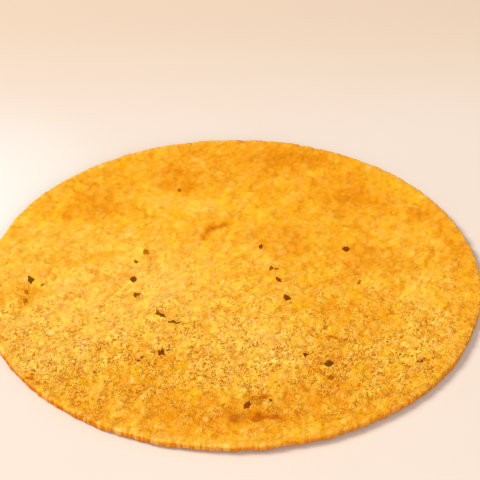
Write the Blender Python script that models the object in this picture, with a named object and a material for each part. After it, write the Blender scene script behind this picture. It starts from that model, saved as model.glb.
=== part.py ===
"""Khakhra: a thin, crisp, round wheat flatbread, roasted under a press, with bits of leaf in the dough.

It is one solid. The sheet is of even thickness, lies flat on its underside and lifts a little towards
a craggy rim with rounded edges. Its top has the low swells, dimples and roast blisters of a pressed
bread, one browned bubble near the front edge and one curved crease behind the middle. The leaf bits
that show are fused on, standing a little proud of the crust. Metres, +Z up; the origin is the centre
of the footprint, on the surface that the bread lies on.
"""

import math
import random

import bmesh
import bpy
from mathutils import Vector, noise

MM = 0.001
SEED = 7

# The sheet
DIAMETER = 150 * MM
THICKNESS = 2.4 * MM
REST_RADIUS = 48 * MM
RIM_LIFT = 0.35 * MM
RIM_WAVE = 0.25 * MM
RIM_WAVES = 3
RIM_WAVE_TURN = math.radians(40)

# The rim's upright side, the radius of its two rounded edges, and its crags
EDGE_ROUND = 0.6 * MM
EDGE_STEPS = 5
CRAG_SLOW = 0.35 * MM
CRAG_SLOW_LENGTH = 16 * MM
CRAG_FINE = 0.18 * MM

# Relief of the crust, as wave length and height
SWELL_LENGTH = 22 * MM
SWELL_HEIGHT = 0.16 * MM
DIMPLE_LENGTH = 6.5 * MM
DIMPLE_HEIGHT = 0.17 * MM
PIT_HEIGHT = 0.08 * MM
RELIEF_FADE = 4 * MM

# Roast blisters: low round swellings, spread over the top
BLISTER_COUNT = 16
BLISTER_RADIUS = (3.0 * MM, 6.5 * MM)
BLISTER_HEIGHT = (0.12 * MM, 0.30 * MM)
BLISTER_REACH = 62 * MM
BLISTER_SCATTER = 0.4

# The browned bubble near the front edge, wider than deep
BUBBLE_PLACE = (8.5 * MM, -59.5 * MM)
BUBBLE_HALF_SIZE = (6.5 * MM, 5.0 * MM)
BUBBLE_HEIGHT = 0.5 * MM

# The curved crease behind the middle: an arc of a circle, pressed in
CREASE_CENTRE = (-0.5 * MM, 18.3 * MM)
CREASE_RADIUS = 8.6 * MM
CREASE_FROM = math.radians(90)
CREASE_TO = math.radians(183)
CREASE_WIDTH = 1.6 * MM
CREASE_DEPTH = 0.3 * MM
CREASE_FULL_SHARE = 1.4

# Mesh spacing on the top and, where it needs less detail, the underside; the jitter and the gap left
# before the rounded edge are shares of it
TOP_SPACING = 2.5 * MM
UNDER_SPACING = 5.0 * MM
SPACING_JITTER = 0.22
EDGE_GAP = 0.7

# Leaf bits: how far they stand out of the crust, how deep they are rooted, and their waviness
LEAF_PROUD = 0.22 * MM
LEAF_ROOT = 0.5 * MM
LEAF_CROWN = 0.08 * MM
LEAF_WAVE = 0.06 * MM

# The leaf bits that show, in mm: x, y and the corners of the outline from there, anticlockwise
LEAF_BITS = (
    (-61.2, -1.4, ((-0.6, -0.8), (0.4, -2.1), (1.3, -0.2), (-0.2, 1.5), (-0.9, 1.8))),
    (35.1, 13.4, ((-1.2, 0.1), (-0.5, -1.1), (0.2, -1.6), (1.4, 0.0), (0.5, 1.4), (-0.6, 1.3))),
    (
        27.3,
        -40.7,
        ((-0.6, 1.1), (-1.2, 0.2), (-1.3, -0.5), (-0.2, -1.4), (0.9, -1.1), (1.8, -0.1), (0.2, 2.1)),
    ),
    (-21.9, -17.4, ((-0.7, 0.9), (-0.7, -1.1), (0.7, -1.4), (0.9, -0.5), (0.2, 0.4), (-0.6, 2.1))),
    (-20.8, -18.9, ((-0.8, 0.0), (-0.2, -0.9), (1.1, -0.6), (0.5, 0.7), (-0.6, 0.9))),
    (
        -20.6,
        -35.5,
        (
            (0.0, 0.5), (-0.5, 1.0), (-1.0, 0.3), (-0.6, -1.0), (-0.3, -2.1), (0.1, -0.9),
            (1.0, -0.7), (1.0, 0.9), (0.5, 1.7),
        ),
    ),
    (
        -30.1,
        -1.3,
        ((-1.0, 0.3), (-0.8, -0.7), (0.2, -1.8), (1.1, -0.8), (1.1, 0.3), (0.2, 1.5), (-0.5, 1.3)),
    ),
    (16.3, -10.7, ((-1.1, -0.2), (-0.5, -1.1), (0.8, -1.0), (1.2, -0.5), (0.2, 1.2), (-0.9, 1.5))),
    (13.8, -1.8, ((-0.7, 0.0), (0.0, -1.1), (1.2, -1.4), (0.8, -0.1), (-0.3, 1.1), (-0.9, 1.4))),
    (8.7, 14.9, ((-0.4, 0.7), (-0.8, -0.6), (0.1, -1.5), (0.8, 0.1), (0.4, 1.3))),
    (21.0, -36.7, ((-0.7, -0.4), (-0.3, -1.1), (0.4, -0.2), (1.0, 0.0), (0.2, 0.9), (-0.8, 0.6))),
    (4.1, -58.3, ((-0.4, 0.9), (-1.0, -0.2), (-0.9, -1.5), (0.6, -1.1), (1.2, 0.2), (0.8, 1.5))),
    (-17.8, -21.6, ((-0.9, -0.8), (1.1, -0.8), (1.1, 0.2), (0.5, 0.8), (-0.4, 0.2), (-1.3, 0.5))),
    (-16.1, -22.2, ((-0.5, -0.6), (0.8, -0.5), (0.9, 0.5), (-0.1, 0.2), (-1.0, 0.3))),
    (
        -28.6,
        -8.8,
        ((-1.0, -0.9), (-0.1, -1.4), (0.1, -0.2), (0.7, -0.3), (1.0, 1.3), (0.0, 0.7), (-0.8, 1.1)),
    ),
    (-26.7, 12.1, ((-0.9, -0.9), (0.2, -2.0), (1.1, -0.6), (0.4, 1.6), (-0.8, 1.9))),
    (11.8, 3.8, ((-0.6, 0.0), (-0.3, -1.3), (0.7, -0.2), (0.1, 1.5))),
    (-29.6, 6.9, ((-0.5, -0.4), (-0.1, -1.0), (0.7, -0.4), (0.3, 0.6), (-0.5, 1.0))),
    (27.7, -46.6, ((-0.7, 0.6), (-0.9, -0.6), (0.4, -1.2), (1.3, -0.2), (0.1, 1.3))),
    (-26.8, -39.0, ((-0.5, -0.1), (0.1, -0.6), (0.8, -0.4), (0.1, 0.5), (-0.5, 0.6))),
)

CRUST_COLOUR = (0.80, 0.42, 0.07, 1.0)
CRUST_ROUGHNESS = 0.75


def clear_scene():
    """Removes whatever the file already holds."""
    for old in list(bpy.data.objects):
        bpy.data.objects.remove(old)


def smooth(share):
    """Eases a share from 0 to 1, held at both ends."""
    share = min(1.0, max(0.0, share))
    return share * share * (3 - 2 * share)


def noise_at(x, y, length, layer):
    """Smooth noise from about -1 to 1 that changes over the given length."""
    return noise.noise(Vector((x / length, y / length, 10.0 * layer)))


def lift(x, y):
    """How far the sheet has curled up off the surface at a place: nothing where it rests."""
    radius = math.hypot(x, y)
    outward = smooth((radius - REST_RADIUS) / (DIAMETER / 2 - REST_RADIUS))
    wave = math.cos(RIM_WAVES * (math.atan2(y, x) - RIM_WAVE_TURN))
    return outward * (RIM_LIFT + RIM_WAVE * wave)


def scatter_blisters(rng):
    """Places the roast blisters evenly over the top: x, y, radius and height of each."""
    blisters = []
    golden_angle = math.pi * (3 - math.sqrt(5))
    for index in range(BLISTER_COUNT):
        share = (index + 0.5 + rng.uniform(-BLISTER_SCATTER, BLISTER_SCATTER)) / BLISTER_COUNT
        radius = BLISTER_REACH * math.sqrt(share)
        angle = index * golden_angle + rng.uniform(-BLISTER_SCATTER, BLISTER_SCATTER)
        size = rng.uniform(*BLISTER_RADIUS)
        height = rng.uniform(*BLISTER_HEIGHT)
        blisters.append((radius * math.cos(angle), radius * math.sin(angle), size, height))
    return blisters


def blister_relief(x, y, blisters):
    """Height that the blisters and the browned bubble add at a place."""
    height = 0.0
    for place_x, place_y, size, rise in blisters:
        distance = math.hypot(x - place_x, y - place_y) / size
        height += rise * smooth(1 - distance)
    across = (x - BUBBLE_PLACE[0]) / BUBBLE_HALF_SIZE[0]
    along = (y - BUBBLE_PLACE[1]) / BUBBLE_HALF_SIZE[1]
    return height + BUBBLE_HEIGHT * smooth(1 - math.hypot(across, along))


def crease_relief(x, y):
    """Depth, as a negative height, of the curved crease at a place."""
    from_centre = Vector((x - CREASE_CENTRE[0], y - CREASE_CENTRE[1]))
    angle = math.atan2(from_centre.y, from_centre.x) % (2 * math.pi)
    middle = (CREASE_FROM + CREASE_TO) / 2
    half = (CREASE_TO - CREASE_FROM) / 2
    along = smooth(CREASE_FULL_SHARE * (1 - abs(angle - middle) / half))
    across = smooth(1 - abs(from_centre.length - CREASE_RADIUS) / CREASE_WIDTH)
    return -CREASE_DEPTH * along * across


def crust_height(x, y, blisters):
    """Height of the top crust over the surface that the bread lies on."""
    inward = smooth((DIAMETER / 2 - EDGE_ROUND - math.hypot(x, y)) / RELIEF_FADE)
    relief = SWELL_HEIGHT * noise_at(x, y, SWELL_LENGTH, 1)
    relief += DIMPLE_HEIGHT * noise_at(x, y, DIMPLE_LENGTH, 2)
    relief += blister_relief(x, y, blisters) + crease_relief(x, y)
    return lift(x, y) + THICKNESS + inward * relief


def crag(angle):
    """How far the craggy outline stands in or out at an angle round the rim."""
    x = DIAMETER / 2 * math.cos(angle)
    y = DIAMETER / 2 * math.sin(angle)
    return CRAG_SLOW * noise_at(x, y, CRAG_SLOW_LENGTH, 3)


def top_ring(bm, rng, radius, blisters):
    """One ring of the top crust, its points jittered so that no pattern shows."""
    count = max(6, round(2 * math.pi * radius / TOP_SPACING))
    reach = SPACING_JITTER * TOP_SPACING
    ring = []
    for index in range(count):
        angle = 2 * math.pi * index / count + rng.uniform(-reach, reach) / radius
        out = radius + rng.uniform(-reach, reach)
        x = out * math.cos(angle)
        y = out * math.sin(angle)
        pit = rng.uniform(-PIT_HEIGHT, PIT_HEIGHT)
        ring.append(bm.verts.new((x, y, crust_height(x, y, blisters) + pit)))
    return ring


def edge_ring(bm, rng, tilt, count):
    """One ring round the rim; tilt runs from straight up, over straight out, to straight down.

    The upper rings round the upper edge and the lower ones the lower edge, with the side between.
    """
    edge_height = math.copysign(THICKNESS / 2 - EDGE_ROUND, tilt)
    ring = []
    for index in range(count):
        angle = 2 * math.pi * index / count
        stand_out = math.cos(tilt)
        radius = DIAMETER / 2 + crag(angle) - EDGE_ROUND * (1 - stand_out)
        radius += stand_out * rng.uniform(-CRAG_FINE, CRAG_FINE)
        x = radius * math.cos(angle)
        y = radius * math.sin(angle)
        z = lift(x, y) + THICKNESS / 2 + edge_height + EDGE_ROUND * math.sin(tilt)
        ring.append(bm.verts.new((x, y, z)))
    return ring


def underside_ring(bm, radius):
    """One ring of the underside, which follows the sheet's lift and is flat where it rests."""
    count = round(2 * math.pi * radius / UNDER_SPACING)
    ring = []
    for index in range(count):
        angle = 2 * math.pi * index / count
        x = radius * math.cos(angle)
        y = radius * math.sin(angle)
        ring.append(bm.verts.new((x, y, lift(x, y))))
    return ring


def bridge_rings(bm, first, second):
    """Fills the band between two rings with triangles, stepping on along the ring that lags behind."""
    step_first = 0
    step_second = 0
    while step_first < len(first) or step_second < len(second):
        corner = first[step_first % len(first)]
        across = second[step_second % len(second)]
        if (step_first + 1) * len(second) < (step_second + 1) * len(first):
            step_first += 1
            following = first[step_first % len(first)]
        else:
            step_second += 1
            following = second[step_second % len(second)]
        bm.faces.new((corner, across, following))


def centre_on_footprint(bm):
    """Puts the origin under the middle of the outline."""
    xs = [vertex.co.x for vertex in bm.verts]
    ys = [vertex.co.y for vertex in bm.verts]
    middle = Vector(((min(xs) + max(xs)) / 2, (min(ys) + max(ys)) / 2, 0.0))
    bmesh.ops.translate(bm, verts=bm.verts, vec=-middle)


def sheet_rings(bm, rng, blisters):
    """All rings of the sheet, from the middle of the top, round the rim, to the flat of the underside."""
    top_reach = DIAMETER / 2 - EDGE_ROUND - EDGE_GAP * TOP_SPACING
    ring_count = round(top_reach / TOP_SPACING)
    rings = [top_ring(bm, rng, top_reach * k / ring_count, blisters) for k in range(1, ring_count + 1)]
    edge_count = round(math.pi * DIAMETER / TOP_SPACING)
    for step in range(EDGE_STEPS + 1):
        tilt = math.pi / 2 - math.pi * step / EDGE_STEPS
        rings.append(edge_ring(bm, rng, tilt, edge_count))
    under_reach = DIAMETER / 2 - EDGE_ROUND - EDGE_GAP * UNDER_SPACING
    under_count = round((under_reach - REST_RADIUS) / UNDER_SPACING)
    for k in range(under_count, -1, -1):
        radius = REST_RADIUS + (under_reach - REST_RADIUS) * k / under_count
        rings.append(underside_ring(bm, radius))
    return rings


def object_from(bm, name):
    """Turns a finished bmesh into an object in the scene."""
    mesh = bpy.data.meshes.new(name)
    bm.to_mesh(mesh)
    bm.free()
    made = bpy.data.objects.new(name, mesh)
    bpy.context.scene.collection.objects.link(made)
    return made


def make_sheet(rng, blisters):
    """The bread itself, as one closed solid."""
    bm = bmesh.new()
    rings = sheet_rings(bm, rng, blisters)
    bm.faces.new(rings[0])
    for first, second in zip(rings, rings[1:]):
        bridge_rings(bm, first, second)
    bm.faces.new(list(reversed(rings[-1])))
    centre_on_footprint(bm)
    return object_from(bm, "khakhra")


def make_leaf_bit(name, blisters, x, y, outline):
    """One bit of leaf: a torn flake, crowned and wavy on top and rooted in the crust."""
    bm = bmesh.new()
    ground = crust_height(x, y, blisters)
    crown = bm.verts.new((x, y, ground + LEAF_PROUD + LEAF_CROWN))
    root = bm.verts.new((x, y, ground - LEAF_ROOT))
    upper = []
    lower = []
    for index, (out_x, out_y) in enumerate(outline):
        place = Vector((x + out_x * MM, y + out_y * MM, 0.0))
        wave = LEAF_WAVE * math.sin(2 * math.atan2(out_y, out_x) + index)
        upper.append(bm.verts.new(place + Vector((0.0, 0.0, ground + LEAF_PROUD + wave))))
        lower.append(bm.verts.new(place + Vector((0.0, 0.0, ground - LEAF_ROOT))))
    for index in range(len(outline)):
        after = (index + 1) % len(outline)
        bm.faces.new((crown, upper[index], upper[after]))
        bm.faces.new((root, lower[after], lower[index]))
        bm.faces.new((upper[index], lower[index], lower[after], upper[after]))
    return object_from(bm, name)


def fuse(body, bits):
    """Joins the bits onto the body with one union, and removes what it was joined from."""
    gathered = bpy.data.collections.new("leaf_bits")
    bpy.context.scene.collection.children.link(gathered)
    for bit in bits:
        bpy.context.scene.collection.objects.unlink(bit)
        gathered.objects.link(bit)
    union = body.modifiers.new("leaf_bits", "BOOLEAN")
    union.operation = "UNION"
    union.solver = "EXACT"
    union.operand_type = "COLLECTION"
    union.collection = gathered
    bpy.context.view_layer.objects.active = body
    bpy.ops.object.modifier_apply(modifier=union.name)
    for bit in bits:
        bpy.data.objects.remove(bit)
    bpy.data.collections.remove(gathered)


def crust_material():
    """Roasted wheat dough: golden, dry and matt."""
    material = bpy.data.materials.new("roasted_dough")
    material.use_nodes = True
    shader = material.node_tree.nodes["Principled BSDF"]
    shader.inputs["Base Color"].default_value = CRUST_COLOUR
    shader.inputs["Roughness"].default_value = CRUST_ROUGHNESS
    shader.inputs["Metallic"].default_value = 0.0
    return material


def finish(bread):
    """Gives the bread its material and smooth shading that stays crisp at the leaf bits."""
    bread.data.materials.clear()
    bread.data.materials.append(crust_material())
    bread.data.shade_smooth()
    bread.data.set_sharp_from_angle(angle=math.radians(35))


def main():
    clear_scene()
    rng = random.Random(SEED)
    blisters = scatter_blisters(rng)
    bread = make_sheet(rng, blisters)
    bits = []
    for index, (x, y, outline) in enumerate(LEAF_BITS):
        bits.append(make_leaf_bit(f"leaf_bit_{index}", blisters, x * MM, y * MM, outline))
    fuse(bread, bits)
    finish(bread)


main()
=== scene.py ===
"""Khakhra: the looks of one thin, crisp, round wheat flatbread, built round its solid model.

The bread is a disc remeshed finely, drawn onto the solid's own form and given the granular relief of
roasted coarse dough. Leaf bits, pale flour grains, bran flecks and chilli flecks are set into it.
Everything is in metres, +Z up, with the bread lying on the floor at z = 0.
"""

import math

import bpy
import numpy as np
from mathutils import Matrix, Vector
from mathutils.noise import noise_vector, seed_set


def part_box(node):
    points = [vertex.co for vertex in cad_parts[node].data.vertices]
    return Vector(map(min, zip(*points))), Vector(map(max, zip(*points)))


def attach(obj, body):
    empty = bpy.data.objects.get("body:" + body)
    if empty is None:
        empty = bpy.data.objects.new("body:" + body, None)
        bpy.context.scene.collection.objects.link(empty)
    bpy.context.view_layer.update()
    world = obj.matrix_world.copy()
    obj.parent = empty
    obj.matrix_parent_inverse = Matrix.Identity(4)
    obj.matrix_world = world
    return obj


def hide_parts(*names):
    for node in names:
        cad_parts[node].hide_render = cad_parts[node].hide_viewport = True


bl_info = {
    "name": "Khakhra",
    "version": (1, 0, 0),
    "blender": (4, 5, 0),
    "location": "3D View > Sidebar > Khakhra",
    "description": "Models a roasted wheat flatbread with leaf bits, grains and flecks, and its stage",
    "category": "Add Mesh",
}

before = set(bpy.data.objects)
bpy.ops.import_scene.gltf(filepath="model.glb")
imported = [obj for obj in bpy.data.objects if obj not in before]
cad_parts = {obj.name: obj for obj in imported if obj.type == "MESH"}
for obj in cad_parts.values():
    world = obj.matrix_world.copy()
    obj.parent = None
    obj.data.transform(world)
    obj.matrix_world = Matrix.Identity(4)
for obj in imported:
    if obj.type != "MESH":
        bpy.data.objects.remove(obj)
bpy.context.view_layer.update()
BREAD_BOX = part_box("khakhra")
BREAD_RADIUS = (BREAD_BOX[1].x - BREAD_BOX[0].x) / 2

MM = 0.001
SEED = 11

# The leaf bits that show, in mm: x, y, the corners of the outline from there, anticlockwise, how brown
# each has roasted, from 0 for olive to 1 for red brown, and how far it has faded into the crust. The
# solid has the first 20 too.
LEAF_BITS = (
    (-61.2, -1.4, ((-0.6, -0.8), (0.4, -2.1), (1.3, -0.2), (-0.2, 1.5), (-0.9, 1.8)), 0.25, 0.0),
    (35.1, 13.4, ((-1.2, 0.1), (-0.5, -1.1), (0.2, -1.6), (1.4, 0.0), (0.5, 1.4), (-0.6, 1.3)), 0.75, 0.05),
    (
        27.3,
        -40.7,
        ((-0.6, 1.1), (-1.2, 0.2), (-1.3, -0.5), (-0.2, -1.4), (0.9, -1.1), (1.8, -0.1), (0.2, 2.1)),
        0.5,
        0.0,
    ),
    (-21.9, -17.4, ((-0.7, 0.9), (-0.7, -1.1), (0.7, -1.4), (0.9, -0.5), (0.2, 0.4), (-0.6, 2.1)), 1.0, 0.3),
    (-20.8, -18.9, ((-0.8, 0.0), (-0.2, -0.9), (1.1, -0.6), (0.5, 0.7), (-0.6, 0.9)), 0.8, 0.05),
    (
        -20.6,
        -35.5,
        (
            (0.0, 0.5), (-0.5, 1.0), (-1.0, 0.3), (-0.6, -1.0), (-0.3, -2.1), (0.1, -0.9), (1.0, -0.7),
            (1.0, 0.9), (0.5, 1.7),
        ),
        1.0,
        0.05,
    ),
    (
        -30.1,
        -1.3,
        ((-1.0, 0.3), (-0.8, -0.7), (0.2, -1.8), (1.1, -0.8), (1.1, 0.3), (0.2, 1.5), (-0.5, 1.3)),
        0.65,
        0.1,
    ),
    (16.3, -10.7, ((-1.1, -0.2), (-0.5, -1.1), (0.8, -1.0), (1.2, -0.5), (0.2, 1.2), (-0.9, 1.5)), 1.0, 0.0),
    (13.8, -1.8, ((-0.7, 0.0), (0.0, -1.1), (1.2, -1.4), (0.8, -0.1), (-0.3, 1.1), (-0.9, 1.4)), 1.0, 0.1),
    (8.7, 14.9, ((-0.4, 0.7), (-0.8, -0.6), (0.1, -1.5), (0.8, 0.1), (0.4, 1.3)), 1.0, 0.1),
    (21.0, -36.7, ((-0.7, -0.4), (-0.3, -1.1), (0.4, -0.2), (1.0, 0.0), (0.2, 0.9), (-0.8, 0.6)), 1.0, 0.0),
    (4.1, -58.3, ((-0.4, 0.9), (-1.0, -0.2), (-0.9, -1.5), (0.6, -1.1), (1.2, 0.2), (0.8, 1.5)), 1.0, 0.1),
    (-17.8, -21.6, ((-0.9, -0.8), (1.1, -0.8), (1.1, 0.2), (0.5, 0.8), (-0.4, 0.2), (-1.3, 0.5)), 0.2, 0.25),
    (-16.1, -22.2, ((-0.5, -0.6), (0.8, -0.5), (0.9, 0.5), (-0.1, 0.2), (-1.0, 0.3)), 0.6, 0.1),
    (
        -28.6,
        -8.8,
        ((-1.0, -0.9), (-0.1, -1.4), (0.1, -0.2), (0.7, -0.3), (1.0, 1.3), (0.0, 0.7), (-0.8, 1.1)),
        0.7,
        0.3,
    ),
    (-26.7, 12.1, ((-0.9, -0.9), (0.2, -2.0), (1.1, -0.6), (0.4, 1.6), (-0.8, 1.9)), 0.3, 0.92),
    (11.8, 3.8, ((-0.6, 0.0), (-0.3, -1.3), (0.7, -0.2), (0.1, 1.5)), 0.9, 0.3),
    (-29.6, 6.9, ((-0.5, -0.4), (-0.1, -1.0), (0.7, -0.4), (0.3, 0.6), (-0.5, 1.0)), 0.9, 0.25),
    (27.7, -46.6, ((-0.7, 0.6), (-0.9, -0.6), (0.4, -1.2), (1.3, -0.2), (0.1, 1.3)), 1.0, 0.55),
    (-26.8, -39.0, ((-0.5, -0.1), (0.1, -0.6), (0.8, -0.4), (0.1, 0.5), (-0.5, 0.6)), 1.0, 0.1),
    (-25.8, -37.2, ((-0.1, -0.5), (0.4, -0.2), (0.4, 0.5), (0.0, 0.4), (-0.5, -0.3)), 1.0, 0.15),
    (-18.6, -34.6, ((0.1, -0.7), (0.6, 0.2), (-0.1, 0.5), (-0.6, -0.2)), 1.0, 0.4),
    (-18.2, -32.6, ((-0.2, -0.3), (0.2, -0.4), (0.2, 0.4), (-0.2, 0.5)), 0.4, 0.5),
    (10.6, -56.1, ((-0.3, -0.6), (0.4, -0.6), (0.5, 0.6), (-0.5, 0.6)), 1.0, 0.05),
    (-61.9, -7.5, ((-0.3, -1.0), (0.7, -1.1), (0.4, 1.0), (-0.7, 1.2)), 1.0, 0.8),
    (-61.7, -11.7, ((-0.1, -1.3), (0.8, -0.5), (0.4, 0.8), (-1.1, 0.9)), 1.0, 0.8),
    (-57.3, -4.0, ((-0.3, -1.0), (0.6, 0.3), (0.5, 0.9), (-0.6, -0.2)), 0.3, 0.75),
    (-17.3, 45.7, ((-0.5, -0.8), (0.2, -1.2), (0.7, 0.1), (0.0, 1.5), (-0.7, 0.4)), 0.9, 0.8),
    (38.1, -3.1, ((-0.4, -1.1), (0.2, -0.6), (0.8, 1.0), (0.3, 1.5), (-0.8, -0.8)), 0.9, 0.7),
    (48.0, -36.6, ((-0.2, -0.5), (0.4, -0.1), (0.2, 0.5), (-0.4, 0.2)), 1.0, 0.1),
    (53.0, -39.6, ((-0.4, -0.3), (0.6, -0.3), (0.6, 0.1), (0.0, 0.4), (-0.7, 0.1)), 0.6, 0.4),
    (54.1, -39.2, ((-0.4, -0.7), (0.0, -0.7), (0.3, 0.0), (0.3, 1.0), (-0.3, 0.3)), 1.0, 0.1),
    (54.8, -38.2, ((-0.1, -0.4), (0.3, 0.0), (0.1, 0.5), (-0.3, 0.0)), 1.0, 0.25),
    (13.5, 3.8, ((-0.4, -0.9), (0.7, -0.4), (0.6, 0.8), (-1.0, 0.3)), 0.3, 0.75),
    (-56.2, -43.1, ((-0.3, -0.2), (0.2, -0.5), (0.3, 0.4), (-0.2, 0.5)), 0.6, 0.3),
)

# Patches that the pan has browned more, or less where it is below 0, in mm: x, y, half width, half
# depth, and how much
TOASTED_PATCHES = (
    # The widest rows make the whole left side paler
    (-48.0, -8.0, 26.0, 36.0, -0.35),
    (-52.0, -19.0, 10.0, 12.0, -0.45),
    (-50.0, -36.0, 8.0, 6.0, -0.45),
    (-60.0, -26.0, 6.0, 9.0, -0.30),
    (-39.0, -24.0, 10.0, 6.0, -0.20),
    (-50.0, 6.0, 8.0, 5.0, 0.25),
    (-12.0, -14.0, 22.0, 26.0, -0.20),
    (-26.0, 0.0, 9.0, 12.0, -0.25),
    (10.0, -38.0, 14.0, 6.0, -0.30),
    (-17.0, -9.0, 6.0, 5.0, -0.20),
    (20.0, -9.0, 7.0, 6.0, -0.20),
    (56.0, -9.0, 7.0, 7.0, -0.20),
    (9.0, -28.0, 18.0, 8.0, -0.30),
    (-8.5, 37.0, 6.0, 6.0, -0.25),
    (15.0, 22.0, 12.0, 5.0, 0.12),
    (10.5, 7.0, 5.0, 4.0, -0.25),
    # These two widest rows make the far and near edges a deeper orange
    (0.0, 62.0, 60.0, 16.0, 0.18),
    (0.0, -58.0, 60.0, 16.0, 0.10),
    (-41.0, 38.0, 11.0, 9.0, 0.55),
    (-28.0, 41.0, 9.0, 7.0, -0.30),
    (-16.0, 48.0, 10.0, 5.0, 0.45),
    (-19.0, 57.0, 6.0, 3.0, 0.30),
    (18.0, 64.0, 13.0, 7.0, 0.50),
    (37.0, 42.0, 10.0, 11.0, 0.50),
    (18.0, 16.0, 9.0, 10.0, 0.38),
    (49.5, 37.0, 6.0, 6.0, 0.25),
    (41.0, 11.0, 6.0, 5.0, 0.35),
    (49.0, 7.0, 7.0, 6.0, 0.25),
    (38.5, 5.0, 5.0, 5.0, 0.35),
    (27.5, -37.0, 6.0, 5.0, 0.55),
    (70.0, 12.0, 8.0, 30.0, 0.25),
    (60.0, 30.0, 6.0, 6.0, 0.30),
    (58.0, -28.0, 14.0, 14.0, -0.20),
    (71.0, -24.0, 3.0, 9.0, 0.40),
    (31.0, -16.0, 12.0, 9.0, 0.30),
    (-61.0, -9.0, 4.0, 7.0, 0.60),
    (-40.0, 10.0, 4.0, 3.0, 0.35),
    (-23.0, -40.0, 9.0, 6.0, 0.35),
    (-27.0, -56.0, 14.0, 7.0, 0.30),
    (-11.0, -63.0, 12.0, 6.0, 0.30),
    (8.5, -62.0, 12.0, 7.0, 0.27),
    (30.0, -52.0, 13.0, 9.0, 0.30),
    (-52.0, -52.0, 12.0, 8.0, 0.30),
    (5.6, -55.5, 1.1, 0.7, 1.50),
    (7.3, -54.7, 1.7, 0.55, 1.80),
    (9.1, -54.2, 0.9, 0.6, 1.80),
    (7.4, -53.0, 2.2, 0.9, 0.50),
    (6.6, -63.3, 1.5, 1.7, 1.70),
    (10.6, -63.3, 3.6, 0.8, 0.85),
    (1.2, -64.0, 1.7, 1.5, 1.00),
    (1.0, -62.5, 6.0, 5.0, 0.40),
    (18.0, -62.5, 5.0, 5.0, 0.35),
    (18.0, -50.0, 6.0, 4.0, 0.40),
    (0.0, -46.0, 60.0, 7.0, -0.12),
    (-56.0, -47.0, 4.5, 4.5, -0.90),
    (-56.5, -44.8, 0.8, 0.7, 2.50),
    (-57.8, -46.4, 0.7, 0.8, 2.70),
    (-56.4, -46.5, 0.8, 0.7, 2.40),
    (-54.5, -48.5, 0.8, 1.2, 2.60),
    (27.2, -24.0, 0.7, 0.5, 2.00),
    (27.0, -25.1, 0.7, 0.5, 1.80),
    (28.6, -28.5, 1.0, 0.6, 1.90),
    (30.3, -29.2, 0.9, 0.5, 1.20),
    (32.0, -29.7, 1.4, 0.6, 0.60),
    (42.9, 13.7, 1.8, 1.0, 0.60),
    (55.6, -39.0, 1.0, 0.6, 0.90),
    (-52.6, 31.0, 2.2, 2.4, 0.70),
    (-7.3, 25.6, 1.6, 1.6, 0.60),
)

# A ring section painted a darker orange brown along a shallow fold where a bubble in the dough fell in, as
# painted shade in the fold: centre x, y and radius in mm, the angles in degrees between which it shows, its
# width in mm, and how dark it is painted. It runs out over the last few degrees at both ends
FOLD_SHADE = (-0.5, 18.3, 8.6, 106.0, 174.0, 1.3, 0.9)
FOLD_SHADE_RUN_OUT = 15.0

# Rolling drew the dough out by two fifths along a line this far to the right of +Y. Upwards it's
# drawn out three times, so that the rim's ridges run up and down it
ROLLED_TURN = math.radians(27)
ROLLED_SCALE = (1.0, 0.7, 0.35)

# How far in from its edge the bread was roughened when it was cut
RIM_WIDTH = 5 * MM

# A leaf bit's torn edge, in mm: from one tear to the next, and how deep they are
TEAR_SPACING = 0.7
TEAR_DEPTH = 0.2

# How far, in radians, loose grains and thin flecks may tilt out of the crust's plane
GRAIN_TILT = 0.7
FLECK_TILT = 0.3

# The soft lights: where they stand, how wide they are, both in metres, and their warm whites. Then
# the colour of the room's even light, and the floor's width
KEY_LIGHT_PLACE = (-1.65, 0.3, 1.73)
KEY_LIGHT_WIDTH = 1.05
KEY_LIGHT_COLOUR = (1.0, 0.97, 0.92)
FILL_LIGHT_PLACE = (0.4, -1.45, 0.8)
FILL_LIGHT_WIDTH = 1.0
FILL_LIGHT_COLOUR = (1.0, 0.98, 0.95)
ROOM_COLOUR = (1.0, 0.97, 0.93, 1.0)
FLOOR_WIDTH = 6.0


def linear(hex_colour):
    """Turns an sRGB hex colour into linear red, green, blue and alpha."""
    channels = [int(hex_colour[start:start + 2], 16) / 255 for start in (1, 3, 5)]
    turned = [c / 12.92 if c <= 0.04045 else ((c + 0.055) / 1.055) ** 2.4 for c in channels]
    return (*turned, 1.0)


def node(tree, kind, inputs=None, **settings):
    """Adds a node with its settings, and its inputs as values or as what feeds them.

    What feeds an input is a socket, or a node, of which the first output in use is taken.
    """
    made = tree.nodes.new(kind)
    for name, value in settings.items():
        setattr(made, name, value)
    for key, value in (inputs or {}).items():
        if isinstance(value, bpy.types.Node):
            value = next(output for output in value.outputs if output.enabled)
        if isinstance(value, bpy.types.NodeSocket):
            tree.links.new(value, made.inputs[key])
        else:
            made.inputs[key].default_value = value
    return made


def colour_setting(name, description, hex_colour):
    """A colour that a user can change, given as an sRGB hex value."""
    return bpy.props.FloatVectorProperty(
        name=name,
        description=description,
        subtype="COLOR",
        size=4,
        min=0.0,
        max=1.0,
        default=linear(hex_colour),
    )


def length_setting(name, description, default):
    """A length in metres that a user can change."""
    return bpy.props.FloatProperty(
        name=name, description=description, default=default, min=0.0, unit="LENGTH", precision=5
    )


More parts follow.
